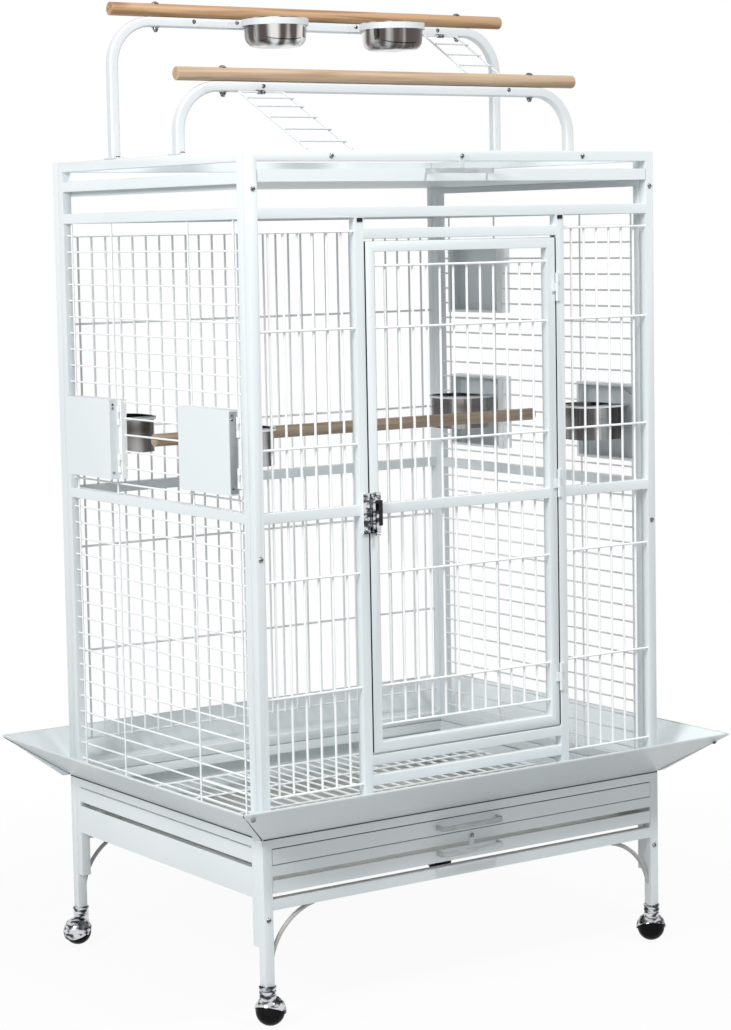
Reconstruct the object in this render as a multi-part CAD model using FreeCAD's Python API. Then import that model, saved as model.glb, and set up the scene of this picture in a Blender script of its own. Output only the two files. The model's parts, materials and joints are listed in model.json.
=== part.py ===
import FreeCAD, Part
import math
import os

# Play-top parrot cage on a wheeled stand. Millimetres, +Z up.
# Origin: floor level under the middle of the cage. Front (door) side faces -Y.

V = FreeCAD.Vector
UP = V(0, 0, 1)

# Main envelope of the cage body
cage_w = 914.0
cage_d = 711.0
tube = 19.0
sheet = 1.5
plate = 2.0
seat_gap = 0.3
through = 4.0

# Levels above the floor
z_roof = 1544.0
z_top_rail = 1487.0
z_ceiling_rail = 1426.0
z_mid_rail = 896.5
z_deck = 341.0
z_leg_foot = 75.0
z_stile_foot = 143.0
z_stand_mid_rail = 272.0
z_stand_low_rail = 211.0
side_runner_z0 = 292.5
side_runner_z1 = 319.0
slot_h = 8.0

# Wires of the panels
bar_r = 2.2
side_wire_r = 1.8
bar_pitch = 30.5
side_pitch = 31.2
side_first_drop = 23.0
side_first_drop_low = 18.0
side_wire_y_share = (0.93, 0.44)
panel_high_share = (0.953, 0.618, 0.2144)
panel_low_share = (0.8065, 0.4196, 0.0907)
door_high_share = (0.832, 0.616, 0.2105)
door_low_share = (0.799, 0.4159, 0.2832)

# Door and its opening
door_w = 429.0
door_gap = 3.0
door_z0 = 463.5
door_z1 = 1384.0
sill_z = 441.0
low_rail_z = 404.0
header_z = 1388.0
hinge_r = 3.0
hinge_h = 52.0
hinge_share = (0.1, 0.5, 0.9)
hinge_leaf_w = 9.0
latch_z = 900.0
latch_h = 74.0
latch_w = 22.0
latch_t = 11.0
keeper_w = 14.0
keeper_h = 74.0
keeper_t = 4.4
lever_l = 44.0
lever_w = 9.0
lever_t = 4.0
lever_pin_r = 2.5
latch_pin_r = 1.2
hinge_pin_r = 1.3

# Slide-out trays and the floor grate
slide_gap = 1.0
runner = 12.0
top_tray_front_z0 = 1490.0
top_tray_front_z1 = 1511.0
grate_front_z0 = 293.0
grate_front_z1 = 320.0
tray_front_z0 = 241.0
tray_front_z1 = 264.0
grate_bar_r = 2.0
grate_rim_r = 3.0
grate_rods = 3
tray_wall = 18.0
handle_w = 140.0
handle_h = 9.0
handle_out = 24.0
handle_t = 2.5
handle_bend = 9.0
handle_x = -10.0
top_pull_z = 1503.0
grate_pull_z = 303.0
bottom_pull_z = 255.0
catch_w = 11.0
catch_t = 1.5
catch_screw_r = 3.0

# Skirt
skirt_tab = 18.0
skirt_out = 97.0
skirt_up = 73.0
skirt_flange = 15.0
skirt_lip = 4.0
skirt_lap = 3.0

# Play top
rear_arch_in = 229.5
front_arch_in = 245.5
rear_arch_h = 265.0
front_arch_h = 132.0
bend_r = 82.0
arch_corner = 4.5
foot_l = 46.0
foot_t = 2.5
perch_r = 12.5
perch_short = 7.0
perch_past = 3.0
perch_bolt_in = 105.0
bolt_r = 3.0
bolt_clear = 0.2
bolt_head_r = 7.0
bolt_head_h = 4.0
bowl_x = 136.0
bowl_r = 60.5
bowl_depth = 52.0
bowl_wall = 1.2
bowl_knee_share = 0.25
bowl_foot_r = 52.0
ring_h = 12.0
ring_t = 2.5
ring_clear = 0.8
ring_bar_l = 62.0
ring_back_gap = 3.0
ladder_w = 95.0
ladder_r = 2.2
rung_r = 1.7
long_ladder_in = 177.0
short_ladder_in = 157.0
short_ladder_w = 78.0
long_rung_share = (0.14, 0.29, 0.48, 0.69, 0.9)
short_rung_share = (0.18, 0.37, 0.56, 0.75, 0.94)
clip_w = 14.0
clip_t = 2.0

# Feeders on the side panels
feeder_w = 174.0
feeder_h = 150.0
feeder_z = 946.0
feeder_upper_z = 1228.0
feeder_front_in = 49.5
feeder_rear_in = 235.5
feeder_fold = 19.0
hatch_frame_w = 5.0
hatch_leaf = 10.0
feeder_hinge_r = 2.5
feeder_hinge_h = 36.0
feeder_hinge_share = (0.2, 0.8)
cup_w = 108.0
cup_d = 84.0
cup_h = 68.0
cup_corner = 34.0
cup_wall = 1.2
cup_rim = 4.0
cup_z = 990.0
cup_from_hinge = 26.0
cup_inset = 22.0
cup_clear = 0.8
holder_h = 4.0
holder_t = 3.0
arch_pad_w = 122.0
arch_pad_h = 84.0
arch_pad_z = 56.0
arch_pad_t = 2.5

# Inner perch
inner_perch_y = 10.0
inner_perch_z = 1024.0
inner_perch_r = 12.0

# Leg braces
brace_r = 4.0
brace_span = 92.0
brace_rise = 20.0

# Casters
wheel_r = 26.5
wheel_half = 18.0
wheel_shares = ((0.35, 1.0), (0.75, 0.9), (1.0, 0.7))
hood_r = 29.0
hood_half = 23.0
hood_t = 1.8
hood_shares = ((0, 1.0), (0.35, 1.0), (0.75, 0.88), (1.0, 0.55), (1.0, 0))
hood_tilt = 27.0
neck_share = 0.5
caster_axle_r = 3.0
axle_clear = 0.05
stem_r = 5.0
stem_clear = 0.05
stem_len = 34.0
neck_r = 14.0
caster_trail = 10.0

# Screws
screw_r = 4.5
screw_h = 2.5
roof_screw_x = 283.0
side_screw_z = 1478.0
low_screw_z = 836.0
leg_screw_z = 195.0

half_w = cage_w / 2
half_d = cage_d / 2
in_x = half_w - tube
in_y = half_d - tube
z_cage = z_deck + sheet
jamb_in = door_w / 2 + door_gap
jamb_out = jamb_in + tube
wire_y = half_d - tube / 2
wire_x = half_w - tube / 2
skirt_rim_z = z_deck + skirt_up
feeder_front_y = feeder_front_in - half_d
feeder_rear_y = half_d - feeder_rear_in
rear_arch_y = half_d - rear_arch_in
front_arch_y = front_arch_in - half_d
rear_arch_top = z_roof + rear_arch_h
front_arch_top = z_roof + front_arch_h
perch_x0 = perch_short - half_w
perch_x1 = half_w + perch_past
perch_bolt_x = half_w - perch_bolt_in
long_ladder_x = long_ladder_in - half_w
short_ladder_x = half_w - short_ladder_in


def block(x0, x1, y0, y1, z0, z1):
    return Part.makeBox(x1 - x0, y1 - y0, z1 - z0, V(x0, y0, z0))


def rod(a, b, r):
    a = V(*a)
    b = V(*b)
    return Part.makeCylinder(r, (b - a).Length, a, b - a)


def fuse(solids):
    whole = solids[0].multiFuse(solids[1:])
    return whole.removeSplitter()


def group(solids):
    return Part.makeCompound(solids)


def mirror_x(shape):
    return shape.mirror(V(0, 0, 0), V(1, 0, 0))


def mirror_y(shape):
    return shape.mirror(V(0, 0, 0), V(0, 1, 0))


def spaced(centre, pitch, count):
    return [centre + pitch * (i - (count - 1) / 2) for i in range(count)]


def pieces_between(low, high, holes):
    """The stretches of low to high that the holes leave."""
    spans = []
    start = low
    for hole_low, hole_high in sorted(holes):
        if hole_low > start:
            spans.append((start, hole_low))
        start = max(start, hole_high)
    if high > start:
        spans.append((start, high))
    return spans


# Cage frames

def face_frame(front):
    """Front or back frame: two corner posts and the rails between them, built at the front."""
    y0 = -half_d
    y1 = y0 + tube
    parts = [block(-half_w, -in_x, y0, y1, z_cage, z_roof), block(in_x, half_w, y0, y1, z_cage, z_roof)]
    for z0 in (z_roof - tube, z_ceiling_rail, z_cage):
        parts.append(block(-in_x, in_x, y0, y1, z0, z0 + tube))
    if not front:
        parts.append(block(-in_x, in_x, y0, y1, z_mid_rail, z_mid_rail + tube))
        return fuse(parts)
    for side in (-1, 1):
        xs = sorted((side * jamb_in, side * jamb_out))
        parts.append(block(xs[0], xs[1], y0, y1, z_cage + tube, z_ceiling_rail))
        xs = sorted((side * jamb_out, side * in_x))
        parts.append(block(xs[0], xs[1], y0, y1, z_mid_rail, z_mid_rail + tube))
    for z0 in (header_z, sill_z, low_rail_z):
        parts.append(block(-jamb_in, jamb_in, y0, y1, z0, z0 + tube))
    keeper_y = y0 - keeper_t
    keeper_z0 = latch_z - keeper_h / 2
    parts.append(block(-jamb_in - keeper_w, -jamb_in, keeper_y, y0, keeper_z0, keeper_z0 + keeper_h))
    return fuse(parts)


def side_frame():
    """Left frame, which stands between the front and back frames."""
    x0 = -half_w
    x1 = -in_x
    y1 = in_y - tube
    parts = [block(x0, x1, -in_y, -y1, z_cage, z_roof), block(x0, x1, y1, in_y, z_cage, z_roof)]
    for z0 in (z_roof - tube, z_top_rail, z_ceiling_rail, z_mid_rail, z_cage):
        parts.append(block(x0, x1, -y1, y1, z0, z0 + tube))
    return fuse(parts)


def wire_levels(high_share, low_share):
    """Heights of the level wires above and below the mid rail."""
    z0 = z_mid_rail + tube
    high = [z0 + (z_ceiling_rail - z0) * share for share in high_share]
    z0 = z_cage + tube
    low = [z0 + (z_mid_rail - z0) * share for share in low_share]
    return high, low


def bar_panel(x0, x1, y, face, levels):
    """Upright bars in two storeys, welded to level wires on the face that looks out."""
    high, low = levels
    count = int((x1 - x0) / bar_pitch)
    solids = []
    for x in spaced((x0 + x1) / 2, bar_pitch, count):
        solids.append(rod((x, y, z_mid_rail + tube), (x, y, max(high) + bar_r), bar_r))
        solids.append(rod((x, y, min(low) - bar_r), (x, y, z_mid_rail), bar_r))
    for z in high + low:
        solids.append(rod((x0, y + face * 2 * bar_r, z), (x1, y + face * 2 * bar_r, z), bar_r))
    return solids


def front_bars():
    levels = wire_levels(panel_high_share, panel_low_share)
    left = bar_panel(-in_x, -jamb_out, -wire_y, -1, levels)
    right = bar_panel(jamb_out, in_x, -wire_y, -1, levels)
    return group(left + right)


def back_bars():
    levels = wire_levels(panel_high_share, panel_low_share)
    return group(bar_panel(-in_x, in_x, wire_y, 1, levels))


def hatch_spans(upper):
    """Feeder hatches of one side as (y0, y1, z0, z1), measured to the outside of their rims."""
    places = [(feeder_front_y, feeder_z), (feeder_rear_y, feeder_z)]
    if upper:
        places.append((feeder_rear_y, feeder_upper_z))
    return [(y - hatch_leaf, y + feeder_w, z, z + feeder_h) for y, z in places]


def feeder_hinge_axis(y0):
    return -half_w - seat_gap - feeder_hinge_r, y0 - feeder_hinge_r - seat_gap


def feeder_hinges(y0, z0, on_door):
    """Barrel hinges at the edge of a hatch: outer knuckles with pin on the rim, middle one on the cover."""
    hx, hy = feeder_hinge_axis(y0)
    third = feeder_hinge_h / 3
    found = []
    for share in feeder_hinge_share:
        low = z0 + feeder_h * share - feeder_hinge_h / 2
        if on_door:
            a = low + third + seat_gap
            b = low + 2 * third - seat_gap
            barrel = rod((hx, hy, a), (hx, hy, b), feeder_hinge_r)
            web = block(hx - sheet, hx, hy, y0, a, b)
            bore = rod((hx, hy, a - seat_gap), (hx, hy, b + seat_gap), hinge_pin_r + axle_clear)
            found.append(fuse([barrel, web]).cut(bore))
            continue
        found.append(rod((hx, hy, low), (hx, hy, low + feeder_hinge_h), hinge_pin_r))
        for a, b in ((low, low + third), (low + 2 * third, low + feeder_hinge_h)):
            found.append(rod((hx, hy, a), (hx, hy, b), feeder_hinge_r))
            found.append(block(hx - sheet / 2, -half_w, hy - hatch_leaf / 2, hy - hinge_pin_r, a, b))
    return found


def side_wires(upper):
    """Level wires close together, upright wires far apart, with framed feeder hatches."""
    hatches = hatch_spans(upper)
    y_end = in_y - tube
    levels = []
    z = z_ceiling_rail - side_first_drop
    while z > z_mid_rail + tube + side_wire_r * 2:
        levels.append(z)
        z -= side_pitch
    z = z_mid_rail - side_first_drop_low
    while z > z_cage + tube + side_wire_r * 2:
        levels.append(z)
        z -= side_pitch
    solids = []
    for z in levels:
        holes = [(h[0], h[1]) for h in hatches if h[2] - side_wire_r < z < h[3] + side_wire_r]
        for a, b in pieces_between(-y_end, y_end, holes):
            solids.append(rod((-wire_x, a, z), (-wire_x, b, z), side_wire_r))
    x = -wire_x - 2 * side_wire_r
    for share in side_wire_y_share:
        for y in (-share * y_end, share * y_end):
            holes = [(h[2], h[3]) for h in hatches if h[0] - side_wire_r < y < h[1] + side_wire_r]
            for z0, z1 in ((z_mid_rail + tube, z_ceiling_rail), (z_cage + tube, z_mid_rail)):
                inside = [h for h in holes if h[0] > z0 and h[1] < z1]
                for a, b in pieces_between(z0, z1, inside):
                    solids.append(rod((x, y, a), (x, y, b), side_wire_r))
    for y0, y1, z0, z1 in hatches:
        rim = block(-half_w, -wire_x + side_wire_r, y0, y1, z0, z1)
        low = y0 + hatch_leaf + hatch_frame_w
        hole = block(-half_w, -in_x, low, y1 - hatch_frame_w, z0 + hatch_frame_w, z1 - hatch_frame_w)
        knuckles = feeder_hinges(y0 + hatch_leaf, z0, False)
        solids.append(fuse([rim.cut(hole)] + knuckles))
    return group(solids)


def ceiling_grille():
    z = z_ceiling_rail + tube / 2
    solids = []
    count = int(2 * in_x / bar_pitch)
    for x in spaced(0, bar_pitch, count):
        solids.append(rod((x, -in_y, z), (x, in_y, z), bar_r))
    for y in spaced(0, in_y * 2 / 3, 3):
        solids.append(rod((-in_x, y, z + 2 * bar_r), (in_x, y, z + 2 * bar_r), bar_r))
    return group(solids)


# Front door

def front_door_frame():
    y0 = -half_d
    y1 = y0 + tube
    x1 = door_w / 2
    x0 = x1 - tube
    parts = [block(-x1, -x0, y0, y1, door_z0, door_z1), block(x0, x1, y0, y1, door_z0, door_z1)]
    for z0 in (door_z0, z_mid_rail, door_z1 - tube):
        parts.append(block(-x0, x0, y0, y1, z0, z0 + tube))
    return fuse(parts)


def front_door_bars():
    x0 = door_w / 2 - tube
    levels = wire_levels(door_high_share, door_low_share)
    return group(bar_panel(-x0, x0, -wire_y, -1, levels))


def hinge_place():
    return door_w / 2 + door_gap / 2, -half_d - hinge_r - seat_gap


def door_hinges(on_door):
    """Barrel hinges: the jamb carries the two outer knuckles with the pin, the door the middle one."""
    hx, hy = hinge_place()
    solids = []
    third = hinge_h / 3
    for share in hinge_share:
        z0 = door_z0 + (door_z1 - door_z0) * share - hinge_h / 2
        if on_door:
            a = z0 + third + seat_gap
            b = z0 + 2 * third - seat_gap
            barrel = rod((hx, hy, a), (hx, hy, b), hinge_r)
            bore = rod((hx, hy, a - seat_gap), (hx, hy, b + seat_gap), hinge_pin_r + axle_clear)
            barrel = barrel.cut(bore)
            leaf = block(hx - hinge_leaf_w, hx - hinge_r * 0.7, -half_d - sheet, -half_d, a, b)
            web = block(hx - hinge_leaf_w, hx - hinge_r * 0.7, hy - sheet / 2, -half_d, a, b)
            solids.append(fuse([barrel, leaf, web]))
            continue
        knuckles = []
        for a, b in ((z0, z0 + third), (z0 + 2 * third, z0 + hinge_h)):
            knuckles.append(rod((hx, hy, a), (hx, hy, b), hinge_r))
            knuckles.append(block(hx + hinge_r * 0.7, hx + hinge_leaf_w, hy - sheet / 2, -half_d, a, b))
        knuckles.append(rod((hx, hy, z0), (hx, hy, z0 + hinge_h), hinge_pin_r))
        solids.append(fuse(knuckles))
    return group(solids)


def latch_case():
    x0 = -door_w / 2
    y0 = -half_d - latch_t
    case = block(x0, x0 + latch_w, y0, -half_d, latch_z - latch_h / 2, latch_z + latch_h / 2)
    slot_z0 = latch_z - lever_l - seat_gap
    mid = x0 + latch_w / 2
    half = lever_w / 2 + seat_gap
    slot = block(mid - half, mid + half, y0 - through, y0 + latch_t / 2, slot_z0, latch_z + latch_h / 4)
    case = case.cut(slot)
    px, py, pz = latch_lever_place()
    return fuse([case, rod((px - half - sheet, py, pz), (px + half + sheet, py, pz), latch_pin_r)])


def latch_lever_place():
    return -door_w / 2 + latch_w / 2, -half_d - latch_t + lever_t / 2, latch_z + lever_pin_r


def latch_lever():
    x, y, z = latch_lever_place()
    tip_z = latch_z - lever_l + through
    arm = block(x - lever_w / 2, x + lever_w / 2, y - lever_t / 2, y + lever_t / 2, tip_z, z)
    eye = rod((x - lever_w / 2, y, z), (x + lever_w / 2, y, z), lever_pin_r)
    bore = rod((x - lever_w, y, z), (x + lever_w, y, z), latch_pin_r + axle_clear)
    return fuse([arm, eye]).cut(bore)


# Sliding floors

def runner_pair(z):
    """Two angle runners on the inner faces of the side frames, their flat leg topped at z."""
    left = fuse([
        block(-in_x, -in_x + runner, -in_y, in_y, z - sheet, z),
        block(-in_x, -in_x + sheet, -in_y, in_y, z - runner, z - sheet),
    ])
    return [left, mirror_x(left)]


def tray_runners():
    solids = []
    for z in (top_tray_front_z0, grate_front_z0, tray_front_z0):
        solids.extend(runner_pair(z - seat_gap))
    return group(solids)


def front_uprights(shape, y0):
    """Upright edges of a block that lie in front of y0."""
    return [e for e in shape.Edges if e.BoundBox.ZLength > handle_h / 2 and e.BoundBox.YMax < y0 - seat_gap]


def pull_handle(z):
    """Bent-strip pull: two arms standing out of the front and the grip between them."""
    y0 = -half_d
    x0 = handle_x - handle_w / 2
    x1 = handle_x + handle_w / 2
    outer = block(x0, x1, y0 - handle_out, y0, z, z + handle_h)
    inner = block(x0 + handle_t, x1 - handle_t, y0 - handle_out + handle_t, y0, z, z + handle_h)
    outer = outer.makeFillet(handle_bend, front_uprights(outer, y0))
    inner = inner.makeFillet(handle_bend - handle_t, front_uprights(inner, y0))
    return outer.cut(inner)


def drawer_front(z0, z1):
    return block(-in_x + slide_gap, in_x - slide_gap, -half_d, -half_d + plate, z0, z1)


def tray(z0, z1, pull_z):
    """Folded tray with a full-width front and a pull."""
    x1 = in_x - sheet - slide_gap
    y0 = -half_d + plate
    y1 = in_y - slide_gap
    pan = block(-x1, x1, y0, y1, z0, z0 + tray_wall)
    hollow = block(-x1 + sheet, x1 - sheet, y0, y1 - sheet, z0 + sheet, z0 + tray_wall)
    front = drawer_front(z0, z1)
    return fuse([pan.cut(hollow), front, pull_handle(pull_z)])


def top_tray():
    return tray(top_tray_front_z0, top_tray_front_z1, top_pull_z)


def bottom_tray():
    return tray(tray_front_z0, tray_front_z1, bottom_pull_z)


def floor_grate():
    z = grate_front_z0 + grate_rim_r
    x1 = in_x - slide_gap - grate_rim_r
    y0 = -half_d + plate
    y1 = in_y - slide_gap - grate_rim_r
    solids = [drawer_front(grate_front_z0, grate_front_z1), pull_handle(grate_pull_z)]
    solids = [fuse(solids)]
    for x in (-x1, x1):
        solids.append(rod((x, y0, z), (x, y1 + grate_rim_r, z), grate_rim_r))
    inner = x1 - grate_rim_r
    solids.append(rod((-inner, y1, z), (inner, y1, z), grate_rim_r))
    count = int(2 * inner / bar_pitch)
    for x in spaced(0, bar_pitch, count):
        solids.append(rod((x, y0, z), (x, y1 - grate_rim_r, z), grate_bar_r))
    for y in spaced(0, in_y / 2, grate_rods):
        solids.append(rod((-inner, y, z + 2 * grate_bar_r), (inner, y, z + 2 * grate_bar_r), grate_bar_r))
    return group(solids)


def turn_catch(screw_z, tip_z):
    """Flat turning tab on a screw, hanging just above the front that it guards."""
    y1 = -half_d - seat_gap
    y0 = y1 - catch_t
    half = catch_w / 2
    tab = block(-half, half, y0, y1, tip_z, screw_z)
    eye = Part.makeCylinder(half, catch_t, V(0, y0, screw_z), V(0, 1, 0))
    head = Part.makeCylinder(catch_screw_r, screw_h, V(0, y0 - screw_h, screw_z), V(0, 1, 0))
    return fuse([tab, eye, head])


# Stand

def stand_face(front):
    """Two legs with the rails between them, built at the front; the legs are bored for the casters."""
    y0 = -half_d
    y1 = y0 + tube
    parts = [block(x0, x0 + tube, y0, y1, z_leg_foot, z_deck) for x0 in (-half_w, in_x)]
    if front:
        levels = (z_deck - tube, z_stand_mid_rail, z_stand_low_rail)
        parts += [block(-in_x, in_x, y0, y1, z0, z0 + tube) for z0 in levels]
    else:
        for z0 in (z_deck - tube, z_stand_low_rail):
            parts.append(block(-in_x, in_x, y0, y1, z0, z0 + tube))
        parts.append(block(-in_x, in_x, y0, y0 + sheet, z_stand_low_rail + tube, z_deck - tube))
    body = fuse(parts)
    for x in (-wire_x, wire_x):
        foot = V(x, -wire_y, z_leg_foot)
        body = body.cut(Part.makeCylinder(stem_r + stem_clear, stem_len + through, foot, UP))
    return body


def stand_side():
    """Left side of the stand: two short stiles, a top rail and a deep apron with a slot above it."""
    x0 = -half_w
    x1 = -in_x
    y1 = in_y - tube
    apron_z0 = z_stand_low_rail + tube
    apron_z1 = side_runner_z0 - slot_h
    parts = [block(x0, x1, -in_y, -y1, z_stile_foot, z_deck), block(x0, x1, y1, in_y, z_stile_foot, z_deck)]
    parts.append(block(x0, x1, -y1, y1, z_deck - tube, z_deck))
    parts.append(block(x0, x1, -y1, y1, side_runner_z0, side_runner_z1))
    parts.append(block(x0, x0 + sheet, -y1, y1, apron_z0, apron_z1))
    parts.append(block(x0, x1, -y1, y1, apron_z0, apron_z0 + sheet))
    return fuse(parts)


def leg_braces():
    """Curved rods from the low rails to the legs, one in each corner."""
    low_x = in_x - brace_span
    low_z = z_stand_low_rail - brace_span
    half_chord = brace_span / math.sqrt(2)
    radius = (half_chord ** 2 + brace_rise ** 2) / (2 * brace_rise)
    shift = (brace_span + math.sqrt(2) * (radius - brace_rise)) / 2 - brace_span / 2
    centre = V(in_x - brace_span / 2 - shift, -wire_y, z_stand_low_rail - brace_span / 2 - shift)
    ring = Part.makeTorus(radius, brace_r, centre, V(0, 1, 0))
    one = ring.common(block(low_x, in_x, -half_d, -in_y, low_z, z_stand_low_rail))
    solids = []
    for shape in (one, mirror_x(one)):
        solids.append(shape)
        solids.append(mirror_y(shape))
    return group(solids)


def end_cut(shape, side, corner, tip):
    """Cut off what lies beyond the upright plane through corner and tip."""
    reach = 4 * skirt_out
    way = (tip - corner).normalize() * reach
    side_way = V(side * reach, 0, 0)
    wedge = Part.Face(Part.makePolygon([
        corner - way, corner + way, corner + way + side_way, corner - way + side_way, corner - way
    ]))
    return shape.cut(wedge.extrude(V(0, 0, skirt_up + skirt_lip + 2 * through)))


def skirt_panel(long_half, short_half, tab, lap):
    """Flared sheet on the front side, with a mitred flange under the cage and a folded lip.

    Its ends reach past the mitre by the tab at the fold, or stop short of it by the lap."""
    y0 = -short_half
    slope = math.hypot(skirt_out, skirt_up)
    dz = sheet * slope / skirt_out
    slope_up = dz - sheet
    rim_y = y0 - skirt_out
    reach = long_half + skirt_out + sheet
    outline = [
        V(-reach, y0, z_deck),
        V(-reach, rim_y, skirt_rim_z),
        V(-reach, rim_y - sheet, skirt_rim_z),
        V(-reach, rim_y - sheet, skirt_rim_z + skirt_lip),
        V(-reach, rim_y, skirt_rim_z + skirt_lip),
        V(-reach, rim_y, skirt_rim_z + dz),
        V(-reach, y0, z_deck + sheet + slope_up),
    ]
    panel = Part.Face(Part.makePolygon(outline + outline[:1])).extrude(V(2 * reach, 0, 0))
    flange = block(-long_half, long_half, y0, y0 + skirt_flange, z_deck, z_deck + sheet)
    for side in (-1, 1):
        low = z_deck - through
        corner = V(side * long_half, y0, low)
        tip = V(side * reach, rim_y - sheet, low)
        flange = end_cut(flange, side, corner, tip)
        corner = V(side * (long_half + tab - lap), y0, low)
        tip = V(side * (reach - lap), rim_y - sheet, low)
        panel = end_cut(panel, side, corner, tip)
    return fuse([panel, flange])


def skirt_front():
    return skirt_panel(half_w, half_d, skirt_tab, 0)


def skirt_left():
    panel = skirt_panel(half_d, half_w, 0, skirt_lap)
    panel.rotate(V(0, 0, 0), UP, -90)
    return panel


# Play top

def arch(y, top):
    """Square tube bent into an inverted U on flanged feet, standing on the side rails."""
    x = wire_x
    z0 = z_roof + foot_t
    half = tube / 2
    centre_z = top - half - bend_r
    stub = block(-x - half, -x + half, y - half, y + half, z0, centre_z)
    leg = stub.makeFillet(arch_corner, [e for e in stub.Edges if e.BoundBox.ZLength > tube])
    section = [f for f in leg.Faces if f.BoundBox.ZMin > centre_z - seat_gap][0]
    bend = section.revolve(V(-x + bend_r, y, centre_z), V(0, 1, 0), 90)
    beam = block(-x + bend_r, x - bend_r, y - half, y + half, top - tube, top)
    beam = beam.makeFillet(arch_corner, [e for e in beam.Edges if e.BoundBox.XLength > tube])
    foot = block(-x - half, -x + half, y - foot_l / 2, y + foot_l / 2, z_roof, z0)
    left = [leg, bend, foot]
    whole = fuse(left + [mirror_x(s) for s in left] + [beam])
    for side in (-1, 1):
        start = V(side * perch_bolt_x, y, top - tube - through)
        whole = whole.cut(Part.makeCylinder(bolt_r + bolt_clear, tube + 2 * through, start, UP))
    return whole


def perch(y, top):
    z = top + perch_r
    dowel = rod((perch_x0, y, z), (perch_x1, y, z), perch_r)
    rims = [e for e in dowel.Edges if e.Closed]
    dowel = dowel.makeChamfer(sheet, rims)
    for side in (-1, 1):
        start = V(side * perch_bolt_x, y, top - through)
        dowel = dowel.cut(Part.makeCylinder(bolt_r + bolt_clear, 2 * (perch_r + through), start, UP))
    return dowel


def perch_bolt(x, y, top):
    """Domed bolt through the dowel and the tube, with an acorn nut below."""
    z_head = top + 2 * perch_r
    z_nut = top - tube - seat_gap
    shank = Part.makeCylinder(bolt_r, z_head - z_nut, V(x, y, z_nut), UP)
    head = Part.makeCone(bolt_head_r, bolt_r, bolt_head_h, V(x, y, z_head), UP)
    nut = Part.makeCone(bolt_r, bolt_head_r, bolt_head_h, V(x, y, z_nut - bolt_head_h), UP)
    return fuse([shank, head, nut])


def perch_bolts():
    solids = []
    for y, top in ((rear_arch_y, rear_arch_top), (front_arch_y, front_arch_top)):
        for side in (-1, 1):
            solids.append(perch_bolt(side * perch_bolt_x, y, top))
    return group(solids)


def inner_perch():
    end = wire_x - side_wire_r - seat_gap
    return rod((-end, inner_perch_y, inner_perch_z), (end, inner_perch_y, inner_perch_z), inner_perch_r)


def ring_centre_y():
    return rear_arch_y - max(tube / 2, perch_r) - ring_back_gap - bowl_r - ring_t - ring_clear


def bowl_ring(x):
    """Band that holds a bowl, on a flat bar bolted to the front of the rear arch."""
    z0 = rear_arch_top - tube + ring_t
    y = ring_centre_y()
    inner_r = bowl_r + ring_clear
    outer = Part.makeCylinder(inner_r + ring_t, ring_h, V(x, y, z0), UP)
    bar_y = rear_arch_y - tube / 2
    bar = block(x - ring_bar_l, x + ring_bar_l / 2, bar_y - ring_t, bar_y, z0, z0 + ring_h)
    neck = block(x - ring_bar_l / 4, x + ring_bar_l / 4, y, bar_y, z0, z0 + ring_h)
    hole = Part.makeCylinder(inner_r, ring_h + 2 * through, V(x, y, z0 - through), UP)
    return fuse([outer, neck, bar]).cut(hole).removeSplitter()


def bowl(x):
    """Round steel bowl with a rolled rim that sits on the band."""
    y = ring_centre_y()
    top = rear_arch_top - tube + ring_t + ring_h + seat_gap
    z0 = top - bowl_depth
    knee = bowl_depth * bowl_knee_share
    outline = [
        V(0, 0, z0),
        V(bowl_foot_r, 0, z0),
        V(bowl_r - sheet, 0, z0 + knee),
        V(bowl_r, 0, top),
        V(bowl_r + ring_t, 0, top),
        V(bowl_r + ring_t, 0, top + sheet),
        V(bowl_r - bowl_wall, 0, top + sheet),
        V(bowl_r - sheet - bowl_wall, 0, z0 + knee),
        V(bowl_foot_r - bowl_wall, 0, z0 + bowl_wall),
        V(0, 0, z0 + bowl_wall),
    ]
    face = Part.Face(Part.makePolygon(outline + outline[:1]))
    body = face.revolve(V(0, 0, 0), UP, 360)
    body.translate(V(x, y, 0))
    return body


def ladder(x, width, top, bottom, shares):
    """Two rails with rungs laid on them, and a top rung that turns in a clip."""
    solids = []
    a = V(0, *top)
    b = V(0, *bottom)
    run = b - a
    lift = V(0, -run.z, run.y)
    lift.normalize()
    if lift.z < 0:
        lift = lift * -1
    for side in (-1, 1):
        px = x + side * width / 2
        solids.append(rod((px, a.y, a.z), (px, b.y, b.z), ladder_r))
    rest = lift * (ladder_r + rung_r)
    for share in shares:
        p = a + run * share + rest
        solids.append(rod((x - width / 2 - rung_r, p.y, p.z), (x + width / 2 + rung_r, p.y, p.z), rung_r))
    half = width / 2 - ladder_r
    solids.append(rod((x - half, a.y, a.z), (x + half, a.y, a.z), rung_r))
    return group(solids)


def ladder_top(arch_y, arch_top):
    return arch_y - tube / 2 - clip_t - rung_r - seat_gap - ladder_r, arch_top - tube


def long_ladder_ends():
    top = ladder_top(front_arch_y, front_arch_top)
    bottom = (-half_d + tube / 2, z_roof + ladder_r + seat_gap)
    return top, bottom


def long_ladder():
    top, bottom = long_ladder_ends()
    return ladder(long_ladder_x, ladder_w, top, bottom, long_rung_share)


def short_ladder():
    top = ladder_top(rear_arch_y, rear_arch_top)
    bottom = (front_arch_y + tube / 2 + ladder_r + seat_gap, front_arch_top - tube / 2)
    return ladder(short_ladder_x, short_ladder_w, top, bottom, short_rung_share)


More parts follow.
